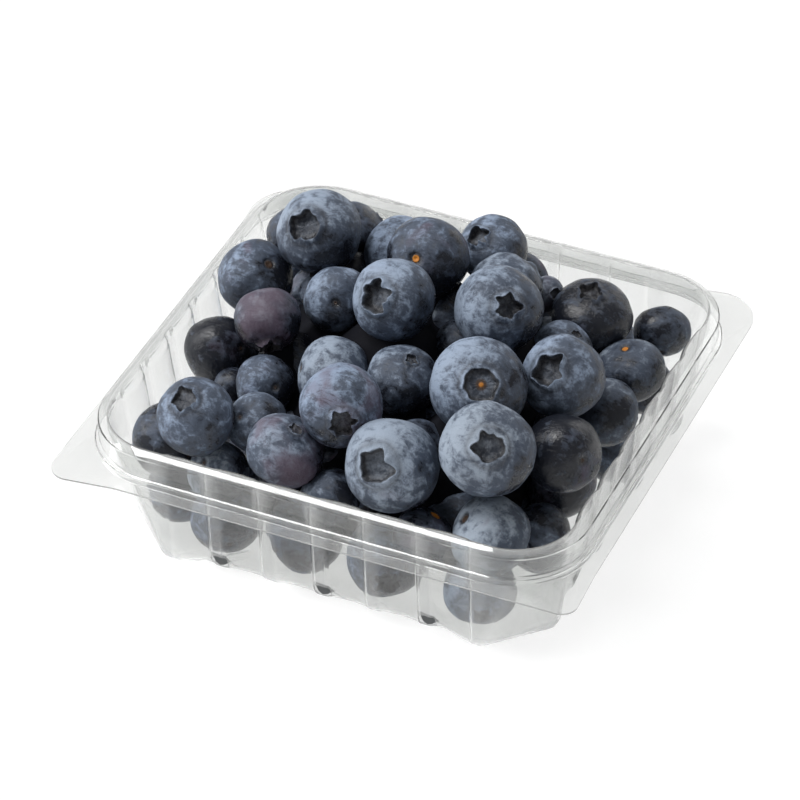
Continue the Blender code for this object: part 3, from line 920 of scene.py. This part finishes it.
def berrySections(s, crown, stem, bodyRings):
    # rings from the middle of the crown to the middle of the stem end:
    # radius, height, share of the star, lift of the lobes, and the marks there (painted shade, lip, scar)
    opening, depth, lip, _, _, dot, dark = crown
    dimple, sink, scar, bright = stem
    top = bodyHeight(s, opening)
    floor = top - depth
    foot, moat = opening * 1.38, opening * 1.52
    # the first mark is painted shade: darkest at the hollow's wall, in the crease round the lip's foot and in
    # the stem end's dimple; lighter on the hollow's floor
    sections = [
        (0.022, floor + 0.020, 0.0, 0.0, (dark * 0.6, 0, dot)),
        (0.045, floor + 0.004, 0.0, 0.0, (dark * 0.8, 0, dot * 0.5)),
        (opening * 0.5, floor, 0.3, 0.0, (dark * 0.7, 0, 0)),
        (opening * 0.82, floor + 0.01, 0.8, 0.0, (dark, 0, 0)),
        (opening * 0.93, floor + depth * 0.45, 1.0, 0.3, (1, 0, 0)),
        (opening * 0.99, top + lip * 0.50, 1.0, 0.8, (0.7, 0.4, 0)),
        (opening * 1.04, top + lip * 0.95, 0.95, 1.0, (0.1, 1, 0)),
        (opening * 1.11, top + lip * 0.75, 0.8, 0.8, (0, 1, 0)),
        (opening * 1.22, top + lip * 0.15, 0.45, 0.3, (0.15, 0.5, 0)),
        (foot, bodyHeight(s, foot) - 0.004, 0.2, 0.2, (0.35, 0.2, 0)),
        (moat, bodyHeight(s, moat) - 0.004, 0.1, 0.0, (0.10, 0.3, 0)),
    ]
    first = math.asin(min(opening * 1.8, 0.95))
    last = math.pi - math.asin(dimple * 1.5)
    for i in range(bodyRings):
        turn = first + (last - first) * i / (bodyRings - 1)
        rho = math.sin(turn)
        height = bodyHeight(s, rho) * (1 if turn < math.pi / 2 else -1)
        sections.append((rho, height, 0.0, 0.0, (0, 0, 0)))
    low = -bodyHeight(s, dimple)
    sections += [
        (dimple, low + 0.004, 0.0, 0.0, (0, 0.25, 0)),
        (dimple * 0.75, low + sink * 0.55, 0.0, 0.0, (0.35, 0, 0)),
        (max(scar * 1.25, dimple * 0.45), low + sink, 0.0, 0.0, (0.8, 0, 0)),
        (scar, low + sink, 0.0, 0.0, (0.7, 0, bright * 0.4)),
        (scar * 0.7, low + sink - 0.02, 0.0, 0.0, (0, 0, bright)),
        (scar * 0.3, low + sink + 0.012, 0.0, 0.0, (0.1, 0, bright * 0.9)),
    ]
    return sections


def modelBerry(s, crownName, stemName, around, seed):
    # one whole berry, a millimetre in radius, with its crown up
    crown = crownKinds[crownName]
    opening, _, lip, star, ragged, _, _ = crown
    bodyRings = round(around * s["ringShare"])
    sections = berrySections(s, crown, stemKinds[stemName], bodyRings)
    draw = random.Random("%s %d" % (crownName, seed))
    points = [2 * math.pi * (k + draw.uniform(-s["lobeShift"], s["lobeShift"])) / 5 for k in range(5)]
    folds = [draw.uniform(*s["lobeFold"]) for _ in points]
    heights = [draw.uniform(*s["lobeHeight"]) for _ in points]
    coarse, fine, fineShare = s["rough"]
    tearScale, tearDepth = s["tear"]
    rings = []
    for rho, height, share, lobes, _ in sections:
        ring = []
        for i in range(around):
            turn = 2 * math.pi * i / around
            k, lobe = lobeAt(turn, points)
            spot = Vector((math.cos(turn), math.sin(turn), seed * s["seedStep"] + rho))
            rough = noise.noise(spot * coarse) + fineShare * noise.noise(spot * fine)
            folded = s["fold"] * ragged * folds[k] * lobe * lobes
            reach = rho * (1 + share * (star * (1 - 2 * lobe) - folded + ragged * 2 * rough))
            torn = ragged * tearDepth * noise.noise(spot * tearScale)
            lift = lip * lobes * (heights[k] * lobe - s["lobeSink"] + torn)
            if height > 0 and lobes == 0:
                near = max(0, 1 - abs(rho - opening) * s["pitFade"])
                lift = s["pitting"] * noise.noise(spot * s["pitScale"]) * near
            ring.append(Vector((reach * math.cos(turn), reach * math.sin(turn), height + lift)))
        rings.append(ring)
    deselectAll()
    bpy.ops.mesh.primitive_circle_add(vertices=around, radius=sections[0][0] * mm)
    berry = bpy.context.object
    startEditing(berry, "VERT")
    bpy.ops.mesh.select_all(action="SELECT")
    shapeLoop(berry, 0, rings[0])
    for k, ring in enumerate(rings[1:], 1):
        bpy.ops.mesh.extrude_region_move()
        shapeLoop(berry, k * around, ring)
    bpy.ops.mesh.edge_face_add()
    bpy.ops.mesh.select_all(action="DESELECT")
    mesh = bmesh.from_edit_mesh(berry.data)
    mesh.verts.ensure_lookup_table()
    for vert in mesh.verts[:around]:
        vert.select_set(True)
    mesh.select_flush(True)
    bmesh.update_edit_mesh(berry.data)
    bpy.ops.mesh.edge_face_add()
    bpy.ops.mesh.select_all(action="SELECT")
    bpy.ops.mesh.normals_make_consistent(inside=False)
    stopEditing()
    marks = berry.data.attributes.new("marks", "FLOAT_COLOR", "POINT")
    for k, section in enumerate(sections):
        for i in range(around):
            marks.data[k * around + i].color = (*section[4], 1)
    smooth = berry.modifiers.new("smooth", "SUBSURF")
    smooth.levels = smooth.render_levels = 1
    applyModifiers(berry)
    for face in berry.data.polygons:
        face.use_smooth = True
    berry.name = "master"
    return berry


# what each fruit on top shows: place and diameter in millimetres; its crown's kind, or "stem" and the
# stem end's kind; the direction that end faces (degrees anticlockwise from the right, degrees up);
# its bloom, its redness and its half height against the usual
topFruit = (
    (-29, 17, 44.5, 18.0, "wide", -96, 43, 0.66, 0.0, 1.0),
    (-27, 31, 35.0, 14.0, "narrow", 40, 30, 0.20, 0.1, 1.0),
    (-38, 26, 35.0, 14.0, "narrow", 150, 20, 0.25, 0.0, 1.0),
    (-41, 10, 33.5, 16.0, "stem scarred", -16, 54, 0.45, 0.2, 1.0),
    (-14, 26, 37.0, 16.0, "round", 100, -20, 0.60, 0.0, 1.0),
    (-4, 17, 45.0, 17.0, "stem bright", -93, 32, 0.35, 0.3, 0.95),
    (5, 31, 40.5, 14.5, "ragged", -116, 51, 0.50, 0.0, 1.0),
    (-19, 4, 38.5, 14.0, "narrow", 110, -30, 0.55, 0.0, 1.0),
    (-4, -1, 46.5, 17.0, "jagged", -102, 37, 0.75, 0.0, 1.0),
    (17, 5, 46.0, 18.0, "ragged", -49, 40, 0.70, 0.0, 1.0),
    (13, 19, 40.0, 16.0, "round", 60, 20, 0.50, 0.0, 1.0),
    (9, 36, 30.0, 13.0, "narrow", 80, 10, 0.20, 0.1, 1.0),
    (-30, -7, 37.5, 14.0, "ragged", -60, -26, 0.38, 0.65, 1.0),
    (-41, -8, 26.5, 15.0, "narrow", 170, -30, 0.05, 0.2, 1.0),
    (0, 15, 31.5, 14.0, "round", 20, -40, 0.20, 0.0, 1.0),
    (30, 25, 34.5, 17.0, "ragged", -80, 86, 0.08, 0.0, 0.84),
    (42, 36, 26.5, 12.0, "narrow", 110, 30, 0.22, 0.0, 0.92),
    (42, 18, 28.5, 14.5, "stem bright", -170, 78, 0.40, 0.0, 0.96),
    (-12, -14, 33.5, 16.0, "round", 30, -20, 0.60, 0.0, 1.0),
    (3, -12, 35.5, 15.0, "narrow", -18, 70, 0.45, 0.0, 1.0),
    (22, -17, 43.0, 20.0, "dotted", -63, 42, 0.75, 0.0, 0.94),
    (35, -4, 40.5, 17.0, "jagged", -100, 44, 0.65, 0.0, 1.0),
    (29, 11, 34.5, 13.0, "narrow", 10, 60, 0.50, 0.0, 1.0),
    (-26, -17, 28.5, 12.5, "narrow", 140, -30, 0.40, 0.2, 1.0),
    (-2, -32, 41.5, 17.0, "ragged", -62, 11, 0.70, 0.4, 1.0),
    (-31, -40, 35.0, 16.0, "round", -112, 63, 0.42, 0.0, 1.0),
    (-41, -39, 25.0, 15.0, "narrow", 160, 10, 0.15, 0.1, 1.0),
    (-21, -32, 31.0, 12.5, "narrow", 60, -40, 0.60, 0.0, 1.0),
    (-11, -41, 32.5, 16.0, "narrow", 15, 69, 0.60, 0.55, 0.88),
    (12, -39, 35.0, 19.0, "wide", -93, 35, 0.90, 0.0, 1.0),
    (31, -34, 42.0, 19.0, "round", -65, 44, 0.70, 0.0, 1.0),
    (42, -19, 33.5, 16.0, "narrow", 150, -20, 0.08, 0.2, 1.0),
    (43, 5, 26.5, 14.5, "narrow", 30, -20, 0.35, 0.0, 1.0),
    (43, 28, 17.5, 12.0, "narrow", 60, -30, 0.30, 0.0, 1.0),
    (-26, -40, 22.5, 12.5, "stem small", -119, 48, 0.60, 0.0, 1.0),
    (34, -40, 24.5, 16.5, "stem scarred", -154, 41, 0.75, 0.0, 1.0),
    (40, -28, 18.0, 14.0, "narrow", 20, -30, 0.20, 0.0, 1.0),
    (-1, -40, 24.0, 12.5, "narrow", -30, -40, 0.30, 0.0, 1.0),
    (20, -42, 21.5, 12.0, "stem yellow", 45, 58, 0.15, 0.2, 1.0),
    (12, -25, 28.5, 14.0, "round", -150, -20, 0.30, 0.0, 1.0),
    (39, -13, 20.5, 15.0, "narrow", 10, -30, 0.15, 0.3, 1.0),
)
# what shows through the front wall, low down
frontFruit = (
    (-39.0, -36.0, 10.5, 13.5, "narrow", 150, -20, 0.25, 0.0, 1.0),
    (-25.0, -39.0, 9.0, 14.5, "round", 120, 20, 0.40, 0.0, 1.0),
    (-7.5, -39.0, 9.0, 16.0, "narrow", 40, 30, 0.35, 0.0, 1.0),
    (10.8, -39.0, 9.0, 16.0, "ragged", -66, -3, 0.60, 0.0, 1.0),
    (32.0, -39.0, 9.0, 14.5, "ragged", -66, -12, 0.65, 0.0, 1.0),
)
shownFruit = topFruit + frontFruit

heapSettings = {
    # height, reach along x, reach along y and range of diameters of each hidden layer
    "layers": (
        (11.5, (-41.0, 41.0), (-41.0, 41.0), (14.5, 17.5)),
        (22.0, (-32.0, 38.0), (-36.0, 24.0), (13.0, 16.0)),
        (31.0, (-24.0, 28.0), (-26.0, 26.0), (12.5, 15.0)),
    ),
    "step": 6.0,
    "jitter": 1.6,
    "layerJitter": 1.0,
    "nearest": 0.8,
    "settleRounds": 60,
    "gap": 0.7,
    "floor": 2.0,           # the tray floor's height by its walls
    "seed": 7,
    "turnSeed": 11,
    "frontShift": (0.0, 0.0, -0.2),
    "frontGrow": 1.03,
    "aroundTop": 40,        # corners round each berry that shows and round each hidden one
    "aroundHidden": 16,
    "topSeeds": 4,          # how many different ones there are of each crown
    "hiddenKinds": ("round", "ragged", "narrow"),
    "hiddenLift": (-60, 60),
    # the hidden ones' bloom is kept low, partly painted shade: they lie deep in the heap
    "hiddenBloomAndShade": (0.1, 0.6),
    "hiddenRed": (0, 0.35),
    "hiddenSquash": (0.93, 1.0),
    # the direction the pieces are sorted by, and where crown up and crown down begin
    "sortFrom": (-66, 38),
    "crownUp": 0.45,
    "crownDown": -0.3,
}


def wallReach(tray, gap, height):
    # how far fruit may reach from the middle along x and along y, clear of the flutes
    depth = min(max((tray["height"] - height) / (tray["height"] - tray["baseRound"]), 0.0), 1.0)
    inset = tray["bulge"] + gap
    reachX = (tray["mouthWidth"] + (tray["baseSide"] - tray["mouthWidth"]) * depth) / 2 - inset
    reachY = (tray["mouthDepth"] + (tray["baseSide"] - tray["mouthDepth"]) * depth) / 2 - inset
    return reachX, reachY, depth


def keepInside(s, tray, centre, radius):
    # moves a berry off the tray's walls, its cut corners and its floor
    reachX, reachY, depth = wallReach(tray, s["gap"], centre.z)
    centre.x = min(max(centre.x, radius - reachX), reachX - radius)
    centre.y = min(max(centre.y, radius - reachY), reachY - radius)
    mouthCut = (2 - math.sqrt(2)) * tray["mouthRadius"]
    cut = mouthCut + (tray["baseCut"] - mouthCut) * depth
    excess = abs(centre.x) + abs(centre.y) - (reachX + reachY - cut - radius * math.sqrt(2))
    if excess > 0:
        centre.x -= math.copysign(excess / 2, centre.x)
        centre.y -= math.copysign(excess / 2, centre.y)
    border = tray["baseSide"] / 2 - tray["baseRound"] - tray["floorBorder"]
    inward = border - max(abs(centre.x), abs(centre.y))
    rise = tray["floorRise"] * min(max(inward / (border - tray["floorSide"] / 2), 0.0), 1.0)
    centre.z = max(centre.z, s["floor"] + rise + s["gap"] + radius)


def spaced(low, high, step):
    count = round((high - low) / step)
    return [low + (high - low) * i / count for i in range(count + 1)]


def layFruit(s, tray):
    # every berry's centre and radius: those that show as placed, the hidden ones settled round them
    fruit = [(Vector(row[:3]), row[3] / 2) for row in shownFruit]
    placed = len(fruit)
    for centre, radius in fruit:
        keepInside(s, tray, centre, radius)
    draw = random.Random(s["seed"])
    for height, reachX, reachY, sizes in s["layers"]:
        for y in spaced(*reachY, s["step"]):
            for x in spaced(*reachX, s["step"]):
                shift = Vector((draw.uniform(-1, 1), draw.uniform(-1, 1), 0)) * s["jitter"]
                shift.z = draw.uniform(-1, 1) * s["layerJitter"]
                centre = Vector((x, y, height)) + shift
                radius = draw.uniform(*sizes) / 2
                keepInside(s, tray, centre, radius)
                if all((centre - other).length > s["nearest"] * (radius + size) for other, size in fruit):
                    fruit.append((centre, radius))
    for _ in range(s["settleRounds"]):
        for i, (centre, radius) in enumerate(fruit):
            for other, size in fruit[max(i + 1, placed):]:
                apart = centre - other
                excess = radius + size - apart.length
                if excess > 0:
                    push = apart.normalized() * excess
                    if i >= placed:
                        centre += push / 2
                        push = push / 2
                    other -= push
        for centre, radius in fruit[placed:]:
            keepInside(s, tray, centre, radius)
    return fruit


fillSettings = {
    "heights": (9.5, 11.0, 12.5, 15.0, 17.5, 20.0, 22.5, 25.0, 28.0, 30.5, 33.0),
    "reach": 42.0,
    "step": 2.6,
    "sizes": (9.5, 14.5),
    "nearest": 0.93,
    "seed": 3,
    # a small one may lie anywhere below this, or under another one
    "low": 12.8,
    "under": 3.0,
    # or close in and not high
    "inner": {"reach": 34.0, "top": 26.0},
    # or not far out, with others round it that stand higher
    "nest": {"reach": 28.0, "near": 22.0, "lower": 4.0, "count": 3},
    # or at the back
    "behind": {"from": 20.0, "to": 36.4, "aside": 32.0, "top": 32.0},
    # the last few, given one by one: place and diameter
    "byHand": (
        (-34.2, -16.0, 24.9, 8.6),
        (-22.4, 20.6, 34.2, 8.0),
        (18.8, 27.6, 35.2, 8.0),
    ),
}


def mayLie(s, centre, radius, fruit):
    # whether a small one is out of the way here
    if centre.z < s["low"]:
        return True
    outward = max(abs(centre.x), abs(centre.y))
    top = centre.z + radius
    if outward < s["inner"]["reach"] - radius / 2 and top < s["inner"]["top"]:
        return True
    above = centre.z + s["under"]
    if any(other.z > above and (centre - other).xy.length < size for other, size in fruit):
        return True
    nest = s["nest"]
    higher = [other for other, size in fruit
              if other.z > centre.z + nest["lower"] and (centre - other).xy.length < nest["near"]]
    if len(higher) >= nest["count"] and outward < nest["reach"]:
        return True
    back = s["behind"]
    inReach = back["from"] < centre.y < back["to"] - radius and abs(centre.x) < back["aside"]
    return inReach and top < back["top"]


def fillGaps(s, heap, tray, fruit):
    # smaller fruit in the hollows left between the others
    draw = random.Random(s["seed"])
    small = []
    for height in s["heights"]:
        for y in spaced(-s["reach"], s["reach"], s["step"]):
            for x in spaced(-s["reach"], s["reach"], s["step"]):
                centre = Vector((x, y, height))
                for radius in (draw.uniform(*s["sizes"]) / 2, s["sizes"][0] / 2):
                    keepInside(heap, tray, centre, radius)
                    clear = all((centre - other).length > s["nearest"] * (radius + size)
                                for other, size in fruit + small)
                    if clear and mayLie(s, centre, radius, fruit):
                        small.append((centre, radius))
                        break
    small += [(Vector(row[:3]), row[3] / 2) for row in s["byHand"]]
    print(len(small), "small berries in the gaps")
    return fruit + small


def facing(turn, lift):
    turn, lift = math.radians(turn), math.radians(lift)
    return Vector((math.cos(turn) * math.cos(lift), math.sin(turn) * math.cos(lift), math.sin(lift)))


def placeBerry(s, master, name, centre, radius, crown, spin, seed, bloom, red, squash):
    # a copy of a master berry, dented in its own way, turned, sized and set in its place
    mesh = master.data.copy()
    berry = bpy.data.objects.new(name, mesh)
    bpy.context.scene.collection.objects.link(berry)
    turned = crown.to_track_quat("Z", "Y").to_matrix() @ Matrix.Rotation(spin, 3, "Z")
    offset = Vector([seed * shift for shift in s["dentShift"]])
    mood = mesh.attributes.new("mood", "FLOAT_COLOR", "POINT")
    wear = (math.sin(seed * s["wearTurn"]) + 1) / 2
    a, b, c = [seed * turn for turn in s["leanTurns"]]
    lean = Vector((math.sin(a), math.cos(b), math.sin(c)))
    # painted light: the bloom is raised on the side towards the lamps and lowered on the far side, the more
    # so on bloomier berries
    paintedLight = s["paintedLightTilt"] * min(bloom * s["paintedLightBloom"], 1.0)
    pale = (Vector(s["paintedLitSide"]) + s["paintedLitJitter"] * lean).normalized()
    for vert, shade in zip(mesh.vertices, mood.data):
        p = vert.co / mm
        dent = noise.noise(p * s["dentScale"] + offset)
        knob = noise.noise(p * s["knobScale"] - offset)
        p = p * (s["widen"] * (1 + s["dent"] * dent + s["knob"] * knob))
        p.z *= squash
        p = turned @ p
        vert.co = (centre + radius * p) * mm
        shade.color = (bloom + paintedLight * p.dot(pale), red, wear, 1)
    return berry


def modelHeap(s, look, fruit, laid):
    masters = {}
    groups = {"berriesCrownUp": [], "berriesStemUp": [], "berriesSideOn": [], "berriesCrownDown": [],
              "berriesBelow": [], "berriesSmall": []}
    draw = random.Random(s["turnSeed"])

    def master(*key):
        if key not in masters:
            masters[key] = modelBerry(look, *key)
        return masters[key]

    for i, (centre, radius) in enumerate(fruit):
        spin = draw.uniform(0, 2 * math.pi)
        if i < len(shownFruit):
            kind, turn, lift, bloom, red, squash = shownFruit[i][4:]
            crown = facing(turn, lift)
            if kind.startswith("stem"):
                source = master("round", kind.split()[1], s["aroundTop"], 0)
                crown = -crown
                group = "berriesStemUp"
            else:
                source = master(kind, "small", s["aroundTop"], i % s["topSeeds"])
                turned = crown.dot(facing(*s["sortFrom"]))
                group = "berriesCrownUp" if turned > s["crownUp"] else "berriesSideOn"
                if turned < s["crownDown"]:
                    group = "berriesCrownDown"
        else:
            source = master(draw.choice(s["hiddenKinds"]), "small", s["aroundHidden"], 0)
            crown = facing(draw.uniform(0, 360), draw.uniform(*s["hiddenLift"]))
            bloom = draw.uniform(*s["hiddenBloomAndShade"])
            red = draw.uniform(*s["hiddenRed"])
            squash = draw.uniform(*s["hiddenSquash"])
            group = "berriesBelow" if i < laid else "berriesSmall"
        if len(topFruit) <= i < len(shownFruit):   # the low front ones sit down against the foot
            centre = centre + Vector(s["frontShift"])
            radius *= s["frontGrow"]
        berry = placeBerry(look, source, "berry%d" % i, centre, radius, crown, spin, i, bloom, red, squash)
        groups[group].append(berry)
    skin = blueberrySkin(skinSettings)
    pieces = []
    for name, berries in groups.items():
        piece = joinPieces(berries, name)
        piece.data.materials.clear()
        piece.data.materials.append(skin)
        pieces.append(piece)
        print(name, len(berries), "berries")
    for source in masters.values():
        bpy.data.objects.remove(source, do_unlink=True)
    return pieces


coreSettings = {
    "half": 35.0,
    "reach": (34.0, 30.0),  # how far it fills along x and y from its middle
    "middle": -3.5,
    "cells": 42,
    "bottom": 9.0,
    "sink": 0.42,           # how far under a berry's middle it tops out, in radii
    "fall": 1.15,           # how steeply it falls away past that berry's fallFrom radii
    "fallFrom": 0.4,
    "least": 1.0,
    "cornerShare": 0.62,
    "edgeFrom": 0.84,       # where it starts to come down to its edge
    "bump": 0.9,
    "bumpScale": 0.3,
}


def modelCore(s, fruit):
    # the dark lump of painted shade inside the heap, just under the fruit's own valleys
    deselectAll()
    bpy.ops.mesh.primitive_grid_add(x_subdivisions=s["cells"], y_subdivisions=s["cells"],
                                    size=2 * s["half"] * mm, location=(0, 0, s["bottom"] * mm))
    core = bpy.context.object
    core.name = "heapCore"
    bpy.ops.object.transform_apply(location=True)
    startEditing(core)
    bpy.ops.mesh.select_all(action="SELECT")
    bpy.ops.mesh.extrude_region_move()
    mesh = bmesh.from_edit_mesh(core.data)
    for vert in [v for v in mesh.verts if v.select]:
        p = vert.co / mm
        tops = [c.z - s["sink"] * r - s["fall"] * max((c - p).xy.length - s["fallFrom"] * r, 0)
                for c, r in fruit]
        sideX, sideY = abs(p.x) / s["reach"][0], abs(p.y - s["middle"]) / s["reach"][1]
        edge = max(sideX, sideY, (sideX + sideY) * s["cornerShare"])
        rise = max(max(tops) - s["bottom"], s["least"])
        p.z = s["bottom"] + rise * (1 - smoothstep(s["edgeFrom"], 1.0, edge))
        p.z += s["bump"] * noise.noise(p * s["bumpScale"])
        vert.co = p * mm
    bmesh.update_edit_mesh(core.data)
    bpy.ops.mesh.select_all(action="SELECT")
    bpy.ops.mesh.normals_make_consistent(inside=False)
    stopEditing()
    for face in core.data.polygons:
        face.use_smooth = True
    core.data.materials.append(heapShade(shadeSettings))
    return core


def addFloor(s):
    deselectAll()
    bpy.ops.mesh.primitive_plane_add(size=s["side"], location=(0, 0, -s["drop"] * mm))
    floor = bpy.context.object
    floor.name = "floor"
    board = Board("paleFloor")
    board.set(baseColor=s["colour"], roughness=s["roughness"], emissionColor=s["glowColour"],
              emissionStrength=s["glow"])
    floor.data.materials.append(board.material)


def main():
    addCamera(viewSettings)
    addLights(lightSettings)
    addWorld(worldSettings)
    addFloor(floorSettings)
    print("camera, lights and floor set")
    tray = modelTray(traySettings)
    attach(tray, "root")
    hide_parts("punnet")
    print("tray modelled:", len(tray.data.polygons), "faces")
    fruit = layFruit(heapSettings, traySettings)
    laid = len(fruit)
    fruit = fillGaps(fillSettings, heapSettings, traySettings, fruit)
    for piece in modelHeap(heapSettings, fruitSettings, fruit, laid):
        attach(piece, "root")
        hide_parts("berries")
    core = modelCore(coreSettings, fruit)
    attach(core, "root")
    print("core modelled:", len(core.data.polygons), "faces")


main()
